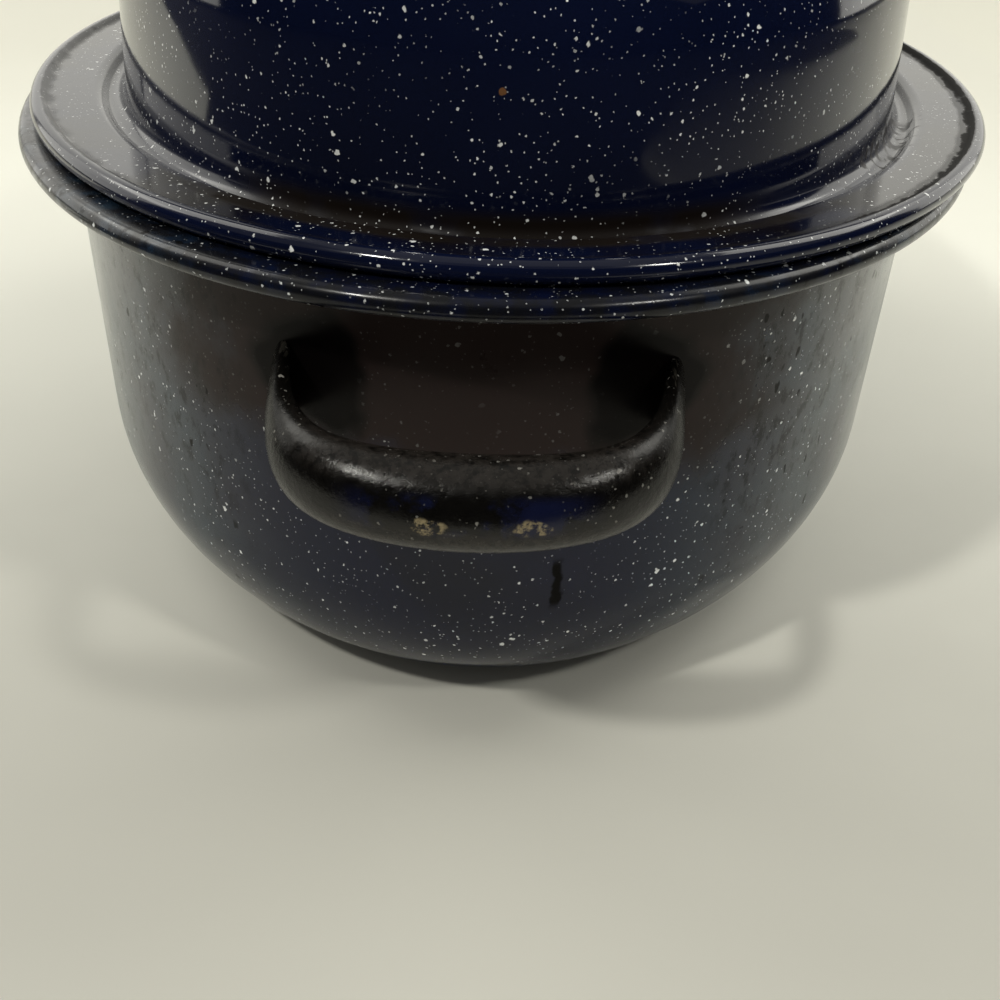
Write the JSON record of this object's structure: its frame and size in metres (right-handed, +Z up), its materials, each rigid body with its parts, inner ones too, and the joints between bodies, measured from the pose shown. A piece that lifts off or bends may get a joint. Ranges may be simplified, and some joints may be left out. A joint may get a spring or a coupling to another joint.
{
  "type": "covered roasting pan",
  "caption": "Oval covered roaster of enamelled pressed steel: deep pan with a ledged rim, end handles and a loose domed lid.",
  "frame": {"origin": "centre of the pan's flat bottom, on the surface that it stands on", "axes": "+Z up, +Y along the pan's long axis towards the rear handle, +X across the pan"},
  "size_m": [0.2854, 0.4516, 0.2003],
  "materials": {
    "pan_enamel": "satin porcelain enamel, dark blue-grey with white flecks",
    "lid_enamel": "glossy porcelain enamel, navy with white flecks",
    "handle_enamel": "worn porcelain enamel, brown-black with white flecks"
  },
  "bodies": {
    "pan": {"pan": "pan_enamel", "front_handle": "handle_enamel", "rear_handle": "handle_enamel"},
    "lid": {"lid": "lid_enamel"}
  },
  "joints": [
    {"name": "lid_lift", "type": "slide", "parent": "pan", "child": "lid", "axis": [0, 0, 1], "range_m": [0, 0.18]}
  ]
}
